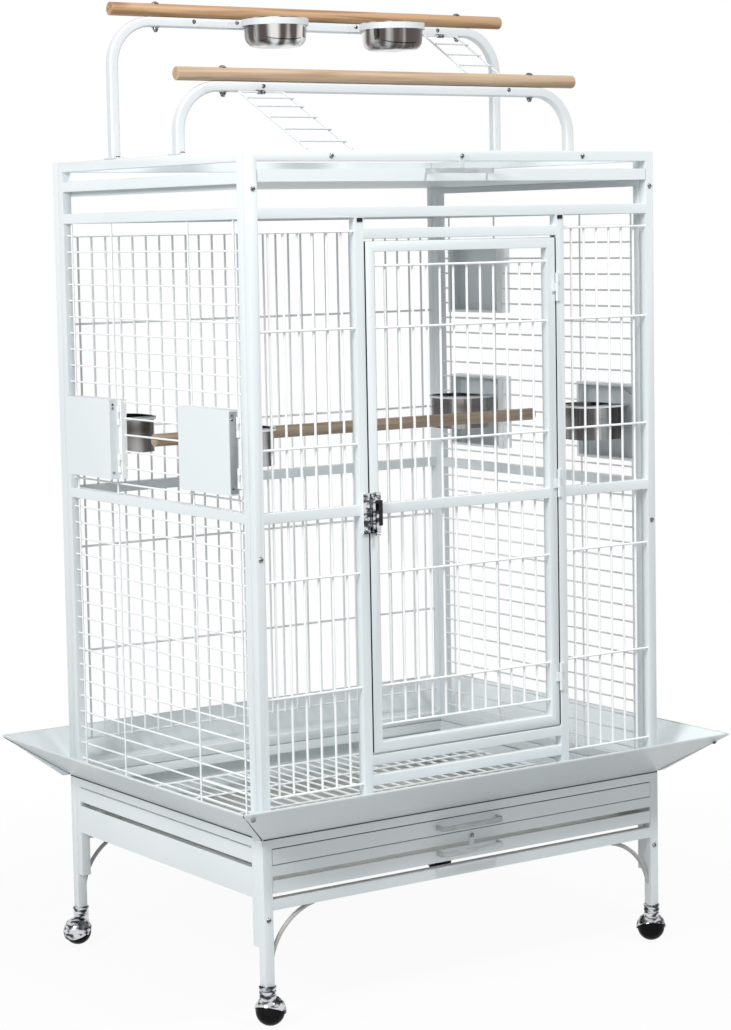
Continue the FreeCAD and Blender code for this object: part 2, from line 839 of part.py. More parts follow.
def ladder_clip(x, arch_y, arch_top):
    """Strap bent round the top rung and screwed to the front of the arch."""
    y, z = ladder_top(arch_y, arch_top)
    face_y = arch_y - tube / 2
    outer = rung_r + seat_gap + clip_t
    strap = Part.makeCylinder(outer, clip_w, V(x - clip_w / 2, y, z), V(1, 0, 0))
    tab = block(x - clip_w / 2, x + clip_w / 2, y, face_y, z, z + outer)
    start = V(x - clip_w / 2 - through, y, z)
    hole = Part.makeCylinder(rung_r + seat_gap, clip_w + 2 * through, start, V(1, 0, 0))
    return fuse([strap, tab]).cut(hole)


def ladder_clips():
    return group([
        ladder_clip(long_ladder_x, front_arch_y, front_arch_top),
        ladder_clip(short_ladder_x, rear_arch_y, rear_arch_top),
    ])


# Feeders: built for the left side, hinge edge at y0, the free edge towards +Y

def feeder_door(y0, z0, with_cup):
    """Folded cover on the outside of the hatch, with a pressed arch and the cup holder inside."""
    x1 = -half_w - seat_gap
    x0 = x1 - feeder_fold
    cover = block(x0, x1, y0, y0 + feeder_w, z0, z0 + feeder_h)
    hollow = block(x0 + sheet, x1, y0 + sheet, y0 + feeder_w - sheet, z0 + sheet, z0 + feeder_h - sheet)
    cover = cover.cut(hollow)
    mid = y0 + cup_from_hinge + cup_w / 2
    pad_z = z0 + arch_pad_z
    spring = pad_z + arch_pad_h - arch_pad_w / 4
    outline = Part.Wire([
        Part.makeLine(V(0, mid - arch_pad_w / 2, pad_z), V(0, mid + arch_pad_w / 2, pad_z)),
        Part.makeLine(V(0, mid + arch_pad_w / 2, pad_z), V(0, mid + arch_pad_w / 2, spring)),
        Part.Arc(
            V(0, mid + arch_pad_w / 2, spring),
            V(0, mid, pad_z + arch_pad_h),
            V(0, mid - arch_pad_w / 2, spring),
        ).toShape(),
        Part.makeLine(V(0, mid - arch_pad_w / 2, spring), V(0, mid - arch_pad_w / 2, pad_z)),
    ])
    pad = Part.Face(outline).extrude(V(arch_pad_t, 0, 0))
    pad.translate(V(x0 + sheet, 0, 0))
    parts = [cover, pad] + feeder_hinges(y0, z0, True)
    if with_cup:
        parts.append(cup_holder(y0))
    return fuse(parts)


def cup_box(y0, grow, z0, z1):
    """Rounded block of the cup's plan, grown by a wall or a clearance."""
    x0 = -half_w - seat_gap + cup_inset
    y0 = y0 + cup_from_hinge
    shape = block(x0 - grow, x0 + cup_d + grow, y0 - grow, y0 + cup_w + grow, z0, z1)
    edges = [e for e in shape.Edges if e.BoundBox.ZLength > sheet / 2 and e.BoundBox.XMin > x0]
    return shape.makeFillet(cup_corner + grow, edges)


def holder_top():
    return cup_z + cup_h - sheet - seat_gap


def cup_holder(y0):
    z1 = holder_top()
    z_low = z1 - holder_h
    ring = cup_box(y0, cup_clear + holder_t, z_low, z1)
    hole = cup_box(y0, cup_clear, z_low - through, z1 + through)
    arm_x0 = -half_w - seat_gap - feeder_fold + sheet
    arm_x1 = -half_w - seat_gap + cup_inset - cup_clear
    mid = y0 + cup_from_hinge + cup_w / 2
    arm = block(arm_x0, arm_x1, mid - cup_w / 3, mid + cup_w / 3, z_low, z1)
    return fuse([ring.cut(hole), arm])


def feeder_cup(y0):
    z1 = cup_z + cup_h
    body = cup_box(y0, 0, cup_z, z1)
    hollow = cup_box(y0, -cup_wall, cup_z + cup_wall, z1 + through)
    lip = cup_box(y0, cup_rim, z1 - sheet, z1)
    return fuse([body, lip]).cut(hollow)


# Casters: swivel about the leg, with a hooded round wheel set off to one side

def turned(profile, centre, axle, start, sweep):
    """Solid of revolution of (axial, radial) points about the axle."""
    up = V(0, 0, 1)
    points = [centre + axle * a + up * r for a, r in profile]
    face = Part.Face(Part.makePolygon(points + points[:1]))
    face.rotate(centre, axle, start)
    return face.revolve(centre, axle, sweep)


def caster_parts(x, y, turn):
    """Hooded swivel caster: neck, stem, hood and axle as one piece, the wheel as the other."""
    cx = x + caster_trail * math.cos(turn)
    cy = y + caster_trail * math.sin(turn)
    axle = V(-math.sin(turn), math.cos(turn), 0)
    centre = V(cx, cy, wheel_r)
    rim = [(wheel_half * a, wheel_r * r) for a, r in wheel_shares]
    left = [(-a, r) for a, r in reversed(rim)]
    bore_r = caster_axle_r + axle_clear
    edge = wheel_half * wheel_shares[-1][0]
    wheel = turned(left + rim + [(edge, bore_r), (-edge, bore_r)], centre, axle, 0, 360)
    outside = [(hood_half * a, hood_r * r) for a, r in hood_shares]
    inside = [((hood_half - hood_t) * a, (hood_r - hood_t) * r) for a, r in reversed(hood_shares)]
    start = hood_tilt - 90
    half = turned(outside + inside, centre, axle, start, 180)
    other = turned([(-a, r) for a, r in outside + inside], centre, axle, start, 180)
    reach = hood_half - hood_t / 2
    pin = Part.makeCylinder(caster_axle_r, 2 * reach, centre - axle * reach, axle)
    neck_z = wheel_r + hood_r * neck_share
    neck = Part.makeCylinder(neck_r, z_leg_foot - seat_gap - neck_z, V(x, y, neck_z), UP)
    room = turned([(0, 0)] + inside[::-1], centre, axle, start, 180)
    room_left = turned([(0, 0)] + [(-a, r) for a, r in inside[::-1]], centre, axle, start, 180)
    stem = Part.makeCylinder(stem_r, stem_len, V(x, y, z_leg_foot - seat_gap), UP)
    body = fuse([neck, stem, half, other]).cut(room).cut(room_left)
    return fuse([body, pin]), wheel


def screw(place, direction):
    return Part.makeCone(screw_r, screw_r * 0.6, screw_h, V(*place), V(*direction))


def frame_screws():
    solids = []
    out = (0, -1, 0)
    for x in (-wire_x, wire_x):
        for z in (side_screw_z, low_screw_z, leg_screw_z):
            solids.append(screw((x, -half_d, z), out))
            solids.append(screw((x, half_d, z), (0, 1, 0)))
    for x in (-roof_screw_x, roof_screw_x):
        solids.append(screw((x, -half_d, z_roof - tube / 2), out))
    for y in (rear_arch_y, front_arch_y):
        for side in (-1, 1):
            for step in (-1, 1):
                place = (side * wire_x, y + step * (foot_l / 2 - 2 * screw_r), z_roof + foot_t)
                solids.append(screw(place, (0, 0, 1)))
    return group(solids)


def all_pieces():
    """Every piece under its own name."""
    parts = {
        "front_frame": face_frame(True),
        "front_bars": front_bars(),
        "back_frame": mirror_y(face_frame(False)),
        "back_bars": back_bars(),
        "left_frame": side_frame(),
        "left_wires": side_wires(False),
        "right_frame": mirror_x(side_frame()),
        "right_wires": mirror_x(side_wires(True)),
        "ceiling_grille": ceiling_grille(),
        "front_door_frame": front_door_frame(),
        "front_door_bars": front_door_bars(),
        "door_knuckles": door_hinges(True),
        "jamb_knuckles": door_hinges(False),
        "latch_case": latch_case(),
        "latch_lever": latch_lever(),
        "tray_runners": tray_runners(),
        "top_tray": top_tray(),
        "floor_grate": floor_grate(),
        "bottom_tray": bottom_tray(),
        "top_tray_catch": turn_catch(z_roof - tube / 2, top_tray_front_z1 + slide_gap),
        "bottom_tray_catch": turn_catch(z_stand_mid_rail + tube / 2, tray_front_z1 + slide_gap),
        "stand_front": stand_face(True),
        "stand_back": mirror_y(stand_face(False)),
        "stand_left": stand_side(),
        "stand_right": mirror_x(stand_side()),
        "leg_braces": leg_braces(),
        "skirt_front": skirt_front(),
        "skirt_back": mirror_y(skirt_front()),
        "skirt_left": skirt_left(),
        "skirt_right": mirror_x(skirt_left()),
        "rear_arch": arch(rear_arch_y, rear_arch_top),
        "front_arch": arch(front_arch_y, front_arch_top),
        "rear_perch": perch(rear_arch_y, rear_arch_top),
        "front_perch": perch(front_arch_y, front_arch_top),
        "perch_bolts": perch_bolts(),
        "inner_perch": inner_perch(),
        "bowl_rings": group([bowl_ring(-bowl_x), bowl_ring(bowl_x)]),
        "play_bowl_left": bowl(-bowl_x),
        "play_bowl_right": bowl(bowl_x),
        "long_ladder": long_ladder(),
        "short_ladder": short_ladder(),
        "ladder_clips": ladder_clips(),
        "frame_screws": frame_screws(),
    }
    front_y0 = feeder_front_y
    rear_y0 = feeder_rear_y
    parts["feeder_door_left_front"] = feeder_door(front_y0, feeder_z, True)
    parts["feeder_door_left_rear"] = feeder_door(rear_y0, feeder_z, True)
    parts["feeder_door_right_front"] = mirror_x(feeder_door(front_y0, feeder_z, True))
    parts["feeder_door_right_rear"] = mirror_x(feeder_door(rear_y0, feeder_z, True))
    parts["feeder_door_right_upper"] = mirror_x(feeder_door(rear_y0, feeder_upper_z, False))
    parts["feeder_cup_left_front"] = feeder_cup(front_y0)
    parts["feeder_cup_left_rear"] = feeder_cup(rear_y0)
    parts["feeder_cup_right_front"] = mirror_x(feeder_cup(front_y0))
    parts["feeder_cup_right_rear"] = mirror_x(feeder_cup(rear_y0))
    corners = {
        "front_left": (-wire_x, -wire_y, 0.6),
        "front_right": (wire_x, -wire_y, 1.0),
        "rear_left": (-wire_x, wire_y, 3.4),
        "rear_right": (wire_x, wire_y, 2.0),
    }
    for name, (x, y, turn) in corners.items():
        swivel, wheel = caster_parts(x, y, turn)
        parts["caster_hood_" + name] = swivel
        parts["caster_wheel_" + name] = wheel
    return parts


def main():
    os.makedirs("parts", exist_ok=True)
    for name, shape in all_pieces().items():
        if not shape.isValid():
            print("not valid:", name)
        shape.exportStep("parts/" + name + ".step")
        print(name, len(shape.Solids), "solids")


main()
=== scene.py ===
import bpy
import json
import math
from mathutils import Matrix, Vector


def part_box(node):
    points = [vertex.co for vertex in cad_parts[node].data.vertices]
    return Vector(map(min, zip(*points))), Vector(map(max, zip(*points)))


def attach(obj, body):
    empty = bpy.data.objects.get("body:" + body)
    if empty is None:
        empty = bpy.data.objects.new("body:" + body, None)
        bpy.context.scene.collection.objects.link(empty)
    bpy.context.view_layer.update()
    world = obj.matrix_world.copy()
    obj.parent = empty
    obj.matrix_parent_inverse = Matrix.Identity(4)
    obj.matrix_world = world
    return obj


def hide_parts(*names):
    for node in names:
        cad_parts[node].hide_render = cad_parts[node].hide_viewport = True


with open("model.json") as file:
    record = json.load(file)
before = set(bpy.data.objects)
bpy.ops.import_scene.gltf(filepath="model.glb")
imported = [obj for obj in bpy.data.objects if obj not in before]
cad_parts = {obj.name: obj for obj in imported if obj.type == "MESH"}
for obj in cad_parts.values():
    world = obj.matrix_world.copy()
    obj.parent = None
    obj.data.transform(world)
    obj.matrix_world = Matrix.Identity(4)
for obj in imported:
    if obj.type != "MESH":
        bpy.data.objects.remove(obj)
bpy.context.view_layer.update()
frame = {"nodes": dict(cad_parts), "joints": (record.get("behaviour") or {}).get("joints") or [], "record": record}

# Places taken from the frame, in metres
HALF_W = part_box("front_frame")[1][0]
HALF_D = -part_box("stand_front")[0][1]
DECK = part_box("stand_front")[1][2]
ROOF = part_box("front_frame")[1][2]
TUBE = 0.019
POST_X = HALF_W - TUBE / 2


# Materials

def new_group(name, inputs, outputs):
    tree = bpy.data.node_groups.new(name, "ShaderNodeTree")
    for label, kind, value in inputs:
        item = tree.interface.new_socket(label, in_out="INPUT", socket_type=kind)
        if value is not None:
            item.default_value = value
    for label, kind in outputs:
        tree.interface.new_socket(label, in_out="OUTPUT", socket_type=kind)
    return tree, tree.nodes.new("NodeGroupInput"), tree.nodes.new("NodeGroupOutput")


def grain_group():
    """Long wood grain along X: streaks, slow colour drift, a few knots and a bump."""
    tree, inp, out = new_group(
        "wood_grain",
        [
            ("Pale", "NodeSocketColor", (0.78, 0.55, 0.33, 1)),
            ("Dark", "NodeSocketColor", (0.52, 0.31, 0.15, 1)),
            ("Knot", "NodeSocketColor", (0.2, 0.1, 0.05, 1)),
        ],
        [("Color", "NodeSocketColor"), ("Normal", "NodeSocketVector")],
    )
    n = tree.nodes
    link = tree.links.new
    coord = n.new("ShaderNodeTexCoord")
    stretch = n.new("ShaderNodeMapping")
    stretch.inputs["Scale"].default_value = (2.2, 60, 60)
    link(coord.outputs["Object"], stretch.inputs["Vector"])
    streaks = n.new("ShaderNodeTexNoise")
    streaks.inputs["Scale"].default_value = 1.8
    streaks.inputs["Detail"].default_value = 8
    streaks.inputs["Distortion"].default_value = 0.6
    link(stretch.outputs["Vector"], streaks.inputs["Vector"])
    drift = n.new("ShaderNodeTexNoise")
    drift.inputs["Scale"].default_value = 5
    link(coord.outputs["Object"], drift.inputs["Vector"])
    ramp = n.new("ShaderNodeValToRGB")
    ramp.color_ramp.elements[0].position = 0.44
    ramp.color_ramp.elements[1].position = 0.60
    link(streaks.outputs["Fac"], ramp.inputs["Fac"])
    amount = n.new("ShaderNodeMath")
    amount.operation = "MULTIPLY"
    link(ramp.outputs["Color"], amount.inputs[0])
    lift = n.new("ShaderNodeMapRange")
    lift.inputs["From Min"].default_value = 0.35
    lift.inputs["From Max"].default_value = 0.62
    lift.inputs["To Min"].default_value = 0.5
    link(drift.outputs["Fac"], lift.inputs["Value"])
    link(lift.outputs["Result"], amount.inputs[1])
    mix = n.new("ShaderNodeMix")
    mix.data_type = "RGBA"
    link(amount.outputs["Value"], mix.inputs["Factor"])
    link(inp.outputs["Pale"], mix.inputs["A"])
    link(inp.outputs["Dark"], mix.inputs["B"])
    spots = n.new("ShaderNodeMapping")
    spots.inputs["Scale"].default_value = (4.2, 9, 9)
    spots.inputs["Location"].default_value = (0.35, 0.1, 0.3)
    link(coord.outputs["Object"], spots.inputs["Vector"])
    cells = n.new("ShaderNodeTexVoronoi")
    cells.inputs["Scale"].default_value = 1
    link(spots.outputs["Vector"], cells.inputs["Vector"])
    knot = n.new("ShaderNodeMapRange")
    knot.interpolation_type = "SMOOTHSTEP"
    knot.inputs["From Min"].default_value = 0.05
    knot.inputs["From Max"].default_value = 0.17
    knot.inputs["To Min"].default_value = 0.75
    knot.inputs["To Max"].default_value = 0
    link(cells.outputs["Distance"], knot.inputs["Value"])
    spotted = n.new("ShaderNodeMix")
    spotted.data_type = "RGBA"
    link(knot.outputs["Result"], spotted.inputs["Factor"])
    link(mix.outputs["Result"], spotted.inputs["A"])
    link(inp.outputs["Knot"], spotted.inputs["B"])
    link(spotted.outputs["Result"], out.inputs["Color"])
    bump = n.new("ShaderNodeBump")
    bump.inputs["Strength"].default_value = 0.25
    bump.inputs["Distance"].default_value = 0.0004
    link(streaks.outputs["Fac"], bump.inputs["Height"])
    link(bump.outputs["Normal"], out.inputs["Normal"])
    return tree


def peel_group():
    """Fine orange-peel bump and a slight unevenness of gloss."""
    tree, inp, out = new_group(
        "peel",
        [
            ("Scale", "NodeSocketFloat", 900.0),
            ("Rough", "NodeSocketFloat", 0.35),
            ("Depth", "NodeSocketFloat", 0.0001),
        ],
        [("Roughness", "NodeSocketFloat"), ("Normal", "NodeSocketVector")],
    )
    n = tree.nodes
    link = tree.links.new
    coord = n.new("ShaderNodeTexCoord")
    fine = n.new("ShaderNodeTexNoise")
    fine.inputs["Detail"].default_value = 2
    link(coord.outputs["Object"], fine.inputs["Vector"])
    link(inp.outputs["Scale"], fine.inputs["Scale"])
    bump = n.new("ShaderNodeBump")
    bump.inputs["Strength"].default_value = 0.3
    link(inp.outputs["Depth"], bump.inputs["Distance"])
    link(fine.outputs["Fac"], bump.inputs["Height"])
    link(bump.outputs["Normal"], out.inputs["Normal"])
    broad = n.new("ShaderNodeTexNoise")
    broad.inputs["Scale"].default_value = 14
    link(coord.outputs["Object"], broad.inputs["Vector"])
    spread = n.new("ShaderNodeMapRange")
    spread.inputs["To Min"].default_value = -0.05
    spread.inputs["To Max"].default_value = 0.05
    link(broad.outputs["Fac"], spread.inputs["Value"])
    add = n.new("ShaderNodeMath")
    add.operation = "ADD"
    link(inp.outputs["Rough"], add.inputs[0])
    link(spread.outputs["Result"], add.inputs[1])
    link(add.outputs["Value"], out.inputs["Roughness"])
    return tree


def drift_group():
    """Slow drift between two colours, with a stretch along each axis: close colours give a coat's random tone, far
    ones on the metals give bands of painted reflection.
    """
    tree, inp, out = new_group(
        "colour_drift",
        [
            ("Stretch", "NodeSocketVector", (1, 1, 1)),
            ("First", "NodeSocketColor", (0.8, 0.8, 0.8, 1)),
            ("Second", "NodeSocketColor", (0.7, 0.7, 0.7, 1)),
        ],
        [("Color", "NodeSocketColor")],
    )
    n = tree.nodes
    link = tree.links.new
    coord = n.new("ShaderNodeTexCoord")
    scaled = n.new("ShaderNodeVectorMath")
    scaled.operation = "MULTIPLY"
    link(coord.outputs["Object"], scaled.inputs[0])
    link(inp.outputs["Stretch"], scaled.inputs[1])
    noise = n.new("ShaderNodeTexNoise")
    noise.inputs["Scale"].default_value = 1
    noise.inputs["Detail"].default_value = 1.5
    link(scaled.outputs["Vector"], noise.inputs["Vector"])
    ramp = n.new("ShaderNodeMapRange")
    ramp.interpolation_type = "SMOOTHSTEP"
    ramp.inputs["From Min"].default_value = 0.40
    ramp.inputs["From Max"].default_value = 0.60
    link(noise.outputs["Fac"], ramp.inputs["Value"])
    mix = n.new("ShaderNodeMix")
    mix.data_type = "RGBA"
    link(ramp.outputs["Result"], mix.inputs["Factor"])
    link(inp.outputs["First"], mix.inputs["A"])
    link(inp.outputs["Second"], mix.inputs["B"])
    link(mix.outputs["Result"], out.inputs["Color"])
    return tree


GRAIN = grain_group()
PEEL = peel_group()
DRIFT = drift_group()


def coated(name, first, second, stretch, rough, metallic=0.0, scale=900.0, depth=0.0001, gloss=0.5):
    """A hard finish that drifts between two colours under a fine peel; on the metals the two colours lie far
    apart, so the drift paints reflection bands.
    """
    mat = bpy.data.materials.new(name)
    mat.use_nodes = True
    nodes = mat.node_tree.nodes
    link = mat.node_tree.links.new
    shader = nodes["Principled BSDF"]
    shader.inputs["Metallic"].default_value = metallic
    shader.inputs["Specular IOR Level"].default_value = gloss
    tone = nodes.new("ShaderNodeGroup")
    tone.node_tree = DRIFT
    tone.inputs["Stretch"].default_value = stretch
    tone.inputs["First"].default_value = (*first, 1)
    tone.inputs["Second"].default_value = (*second, 1)
    link(tone.outputs["Color"], shader.inputs["Base Color"])
    peel = nodes.new("ShaderNodeGroup")
    peel.node_tree = PEEL
    peel.inputs["Scale"].default_value = scale
    peel.inputs["Rough"].default_value = rough
    peel.inputs["Depth"].default_value = depth
    link(peel.outputs["Roughness"], shader.inputs["Roughness"])
    link(peel.outputs["Normal"], shader.inputs["Normal"])
    return mat


def wooden(name, pale, dark, knot):
    mat = bpy.data.materials.new(name)
    mat.use_nodes = True
    nodes = mat.node_tree.nodes
    shader = nodes["Principled BSDF"]
    grain = nodes.new("ShaderNodeGroup")
    grain.node_tree = GRAIN
    grain.inputs["Pale"].default_value = (*pale, 1)
    grain.inputs["Dark"].default_value = (*dark, 1)
    grain.inputs["Knot"].default_value = (*knot, 1)
    shader.inputs["Roughness"].default_value = 0.55
    mat.node_tree.links.new(grain.outputs["Color"], shader.inputs["Base Color"])
    mat.node_tree.links.new(grain.outputs["Normal"], shader.inputs["Normal"])
    return mat


# Powder coats of the frames, wires, trays and pulls; the play top's darker copy of the white coat and the braces'
# grey are painted shade
COAT = coated("white_coat", (0.765, 0.815, 0.835), (0.735, 0.79, 0.81), (3, 3, 3), 0.34)
WIRE_COAT = coated("wire_coat", (0.92, 0.94, 0.945), (0.88, 0.905, 0.91), (6, 6, 6), 0.30)
TRAY_COAT = coated("tray_coat", (0.47, 0.48, 0.455), (0.42, 0.43, 0.405), (5, 5, 5), 0.45)
PULL_COAT = coated("pull_coat", (0.50, 0.53, 0.54), (0.40, 0.43, 0.44), (30, 30, 160), 0.30)
# darker copy of the white coat: painted shade, as the lamps light the arches, ladder and rings more than the cage
SHADED_WHITE_COAT = coated("white_coat_painted_shade", (0.655, 0.68, 0.695), (0.63, 0.655, 0.67), (3, 3, 3), 0.34)
# grey for the leg braces: painted shade, as they sit unlit from beneath
BRACE_SHADE_GREY = coated("brace_painted_shade", (0.40, 0.395, 0.385), (0.46, 0.455, 0.445), (9, 9, 9), 0.4)
# near black for strips set in narrow gaps: painted shade of the gaps
GAP_SHADE_BLACK = coated("painted_gap_shade", (0.035, 0.04, 0.04), (0.05, 0.055, 0.055), (20, 20, 20), 0.80)

# Polished and plain metals: the base colour drifts in bands between bright and near black, a painted reflection
BOWL_STEEL = coated(
    "bowl_steel", (0.82, 0.81, 0.80), (0.10, 0.085, 0.08), (34, 26, 2), 0.10,
    metallic=1.0, scale=300.0, depth=0.00001,
)
STEEL = coated(
    "cup_steel", (0.50, 0.49, 0.49), (0.11, 0.105, 0.105), (26, 22, 3), 0.20,
    metallic=1.0, scale=300.0, depth=0.00002,
)
CHROME = coated(
    "chrome", (0.66, 0.67, 0.70), (0.05, 0.05, 0.055), (70, 70, 150), 0.09,
    metallic=1.0, scale=300.0, depth=0.00001,
)
SCREW = coated(
    "bright_screw", (0.36, 0.36, 0.37), (0.06, 0.06, 0.06), (300, 300, 300), 0.28,
    metallic=1.0, scale=500.0, depth=0.00002,
)

# Blackened steel, the grey strip of painted shade for the feeder doors' edges, and the casters' balls
BLACKENED = coated(
    "blackened", (0.012, 0.010, 0.014), (0.022, 0.019, 0.024), (90, 90, 90), 0.3,
    scale=500.0, depth=0.00003, gloss=0.2,
)
# grey for the feeder doors' front edges: painted shade
EDGE_SHADE_GREY = coated(
    "feeder_edge_painted_shade", (0.36, 0.375, 0.38), (0.28, 0.295, 0.30), (24, 24, 12), 0.4,
    scale=500.0, depth=0.00003,
)
BALL = coated(
    "ball_black", (0.006, 0.006, 0.007), (0.009, 0.009, 0.010), (40, 40, 40), 0.25,
    scale=500.0, depth=0.00003, gloss=0.05,
)

# Perch wood: the rear and front perch differ a little in tone; the inner perch's darker, greyer copy is painted
# shade
WOOD = wooden("perch_wood", (0.48, 0.30, 0.165), (0.30, 0.16, 0.075), (0.15, 0.07, 0.03))
PALE_WOOD = wooden("pale_wood", (0.50, 0.365, 0.245), (0.34, 0.225, 0.14), (0.17, 0.10, 0.055))
INNER_WOOD_SHADED = wooden("inner_wood_painted_shade", (0.40, 0.31, 0.225), (0.27, 0.195, 0.13), (0.13, 0.08, 0.045))

# Finish of the CAD nodes, by slot and, for some, by name
BY_SLOT = {
    "white_coat": COAT,
    "ladder_wire": SHADED_WHITE_COAT,
    "stainless": STEEL,
    "perch_wood": WOOD,
    "black_metal": CHROME,
    "bright_screw": SCREW,
    "wheel_plastic": BALL,
    "caster_metal": CHROME,
}
BY_NODE = {
    "front_bars": WIRE_COAT,
    "back_bars": WIRE_COAT,
    "left_wires": WIRE_COAT,
    "right_wires": WIRE_COAT,
    "ceiling_grille": WIRE_COAT,
    "floor_grate": WIRE_COAT,
    "front_door_bars": WIRE_COAT,
    "leg_braces": BRACE_SHADE_GREY,
    "bowl_rings": SHADED_WHITE_COAT,
    "bottom_tray": TRAY_COAT,
}
for entry in frame["record"]["subparts"]:
    mesh = frame["nodes"][entry["node"]].data
    mesh.materials.clear()
    mesh.materials.append(BY_NODE.get(entry["node"], BY_SLOT[entry["material_slot"]]))


# Modelling helpers

def active():
    return bpy.context.view_layer.objects.active


def pick(objs):
    bpy.ops.object.select_all(action="DESELECT")
    for o in objs:
        o.select_set(True)
    bpy.context.view_layer.objects.active = objs[0]


def apply_all():
    bpy.ops.object.transform_apply(location=True, rotation=True, scale=True)


def aim(axis):
    return Vector(axis).to_track_quat("Z", "Y").to_euler()


def bar(a, b, r, sides=24):
    a = Vector(a)
    b = Vector(b)
    bpy.ops.object.select_all(action="DESELECT")
    bpy.ops.mesh.primitive_cylinder_add(
        vertices=sides, radius=r, depth=(b - a).length, location=(a + b) / 2, rotation=aim(b - a)
    )
    apply_all()
    return active()


def brick(lo, hi):
    lo = Vector(lo)
    hi = Vector(hi)
    bpy.ops.object.select_all(action="DESELECT")
    bpy.ops.mesh.primitive_cube_add(size=1, location=(lo + hi) / 2, scale=hi - lo)
    apply_all()
    return active()


def soften(obj, width, segments=3):
    pick([obj])
    mod = obj.modifiers.new("soft", "BEVEL")
    mod.width = width
    mod.segments = segments
    mod.limit_method = "ANGLE"
    bpy.ops.object.modifier_apply(modifier=mod.name)
    return obj


def block(lo, hi, ease):
    """Box between two corners with its edges eased."""
    return soften(brick(lo, hi), ease)


def lathe(profile, place, axis=(0, 0, 1), sides=48):
    """Body of revolution through (radius, height) points, closed at both ends."""
    bpy.ops.object.select_all(action="DESELECT")
    r, z = profile[0]
    bpy.ops.mesh.primitive_circle_add(vertices=sides, radius=r, fill_type="NGON", location=(0, 0, z))
    apply_all()
    obj = active()
    bpy.ops.object.mode_set(mode="EDIT")
    bpy.ops.mesh.select_all(action="SELECT")
    bpy.ops.mesh.delete(type="ONLY_FACE")
    bpy.ops.mesh.select_all(action="SELECT")
    for nr, nz in profile[1:]:
        bpy.ops.mesh.extrude_region_move(TRANSFORM_OT_translate={"value": (0, 0, nz - z)})
        k = nr / r
        bpy.ops.transform.resize(value=(k, k, 1), center_override=(0, 0, nz))
        r = nr
        z = nz
    bpy.ops.mesh.edge_face_add()
    bpy.ops.mesh.select_all(action="DESELECT")
    bpy.ops.mesh.select_non_manifold(extend=False)
    bpy.ops.mesh.edge_face_add()
    bpy.ops.object.mode_set(mode="OBJECT")
    obj.rotation_euler = aim(axis)
    obj.location = place
    apply_all()
    return obj


def done(objs, name, body, mat, stands_for=(), angle=35.0):
    """Join the pieces, clean the mesh and tie it to its CAD body."""
    pick(objs)
    if len(objs) > 1:
        bpy.ops.object.join()
    obj = active()
    obj.name = name
    obj.data.name = name
    bpy.ops.object.mode_set(mode="EDIT")
    bpy.ops.mesh.select_all(action="SELECT")
    bpy.ops.mesh.remove_doubles(threshold=0.00001)
    bpy.ops.mesh.normals_make_consistent(inside=False)
    bpy.ops.object.mode_set(mode="OBJECT")
    bpy.ops.object.shade_smooth_by_angle(angle=math.radians(angle))
    obj.data.materials.clear()
    obj.data.materials.append(mat)
    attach(obj, body)
    if stands_for:
        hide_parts(*stands_for)
    return obj


def twin(source, place, axis=(0, 0, 1)):
    """A copy with its own mesh of a piece modelled upright at the origin."""
    other = source.copy()
    other.data = source.data.copy()
    bpy.context.scene.collection.objects.link(other)
    other.rotation_euler = aim(axis)
    other.location = place
    pick([other])
    apply_all()
    return other


def drop(source):
    bpy.data.objects.remove(source, do_unlink=True)


def own_shape(node, name):
    """A merged copy of a node's own shape, left in edit mode with all of it selected."""
    obj = bpy.data.objects.new(name, frame["nodes"][node].data.copy())
    bpy.context.scene.collection.objects.link(obj)
    pick([obj])
    bpy.ops.mesh.customdata_custom_splitnormals_clear()
    bpy.ops.object.mode_set(mode="EDIT")
    bpy.ops.mesh.select_all(action="SELECT")
    bpy.ops.mesh.remove_doubles(threshold=0.00002)
    bpy.ops.mesh.select_all(action="SELECT")
    return obj


def eased(node, name, body, mat, width):
    """A node's own shape with its sharp edges eased and its round faces shaded smooth."""
    obj = own_shape(node, name)
    bpy.ops.mesh.dissolve_limited(angle_limit=math.radians(1))
    bpy.ops.object.mode_set(mode="OBJECT")
    mod = obj.modifiers.new("ease", "BEVEL")
    mod.width = width
    mod.segments = 2
    mod.limit_method = "ANGLE"
    mod.angle_limit = math.radians(50)
    mod.use_clamp_overlap = True
    bpy.ops.object.modifier_apply(modifier=mod.name)
    return done([obj], name, body, mat, (node,), 32)


def middle(node):
    lo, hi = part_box(node)
    return (lo + hi) / 2


# Perches

def perch(node, finish):
    """Dowel with small chamfers at its ends, along X."""
    lo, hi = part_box(node)
    c = middle(node)
    r = (hi.z - lo.z) / 2
    chamfer = 0.0016
    shoulder = chamfer * 0.3
    half = (hi.x - lo.x) / 2
    length = 2 * half
    profile = [
        (0.001, 0), (r - chamfer, 0), (r - shoulder, shoulder), (r, chamfer),
        (r, length / 3), (r, length * 2 / 3), (r, length - chamfer),
        (r - shoulder, length - shoulder), (r - chamfer, length), (0.001, length),
    ]
    wood = lathe(profile, (c.x - half, c.y, c.z), (1, 0, 0), 40)
    return done([wood], "wood_" + node, "cage_body", finish, (node,), 50)


perch("rear_perch", WOOD)
perch("front_perch", PALE_WOOD)
perch("inner_perch", INNER_WOOD_SHADED)


# Bowls of the play top

